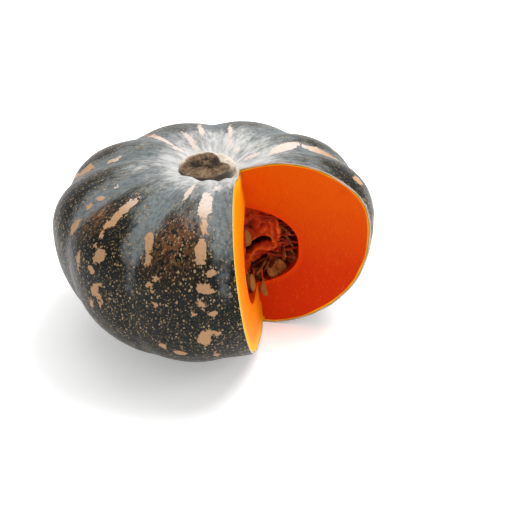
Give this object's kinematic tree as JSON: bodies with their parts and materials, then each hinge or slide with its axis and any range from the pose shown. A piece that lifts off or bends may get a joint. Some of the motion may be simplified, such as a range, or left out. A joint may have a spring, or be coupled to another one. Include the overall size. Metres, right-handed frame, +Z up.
{
  "type": "pumpkin",
  "caption": "Whole ribbed green pumpkin with a wedge cut out of its front right, showing orange flesh, stringy pulp and hanging seeds; low woody stem.",
  "frame": {"origin": "on the surface that the pumpkin rests on, under the middle of its bounding box; the stem's axis stands 3 mm along +X and 7 mm along -Y from it", "axes": "+Z up along the stem's axis; the cut-out wedge opens between +X and -Y, the pictured side looks along -Y"},
  "size_m": [0.2498, 0.2453, 0.1511],
  "materials": {
    "rind": "satin, dark green with pale blotches, fine speckles and a grey waxy bloom",
    "flesh": "moist cut orange flesh, yellower by the rind",
    "stem": "dry corky wood, browner on its cut top",
    "pulp": "wet stringy red orange",
    "seed": "wet cream to tan"
  },
  "bodies": {
    "root": {"rind": "rind", "flesh": "flesh", "stem": "stem", "pulp": "pulp", "seed_row_1": "seed", "seed_row_2": "seed", "seed_row_3": "seed", "seed_row_4": "seed", "seed_row_5": "seed", "seed_row_6": "seed", "seed_row_7": "seed"}
  },
  "joints": []
}
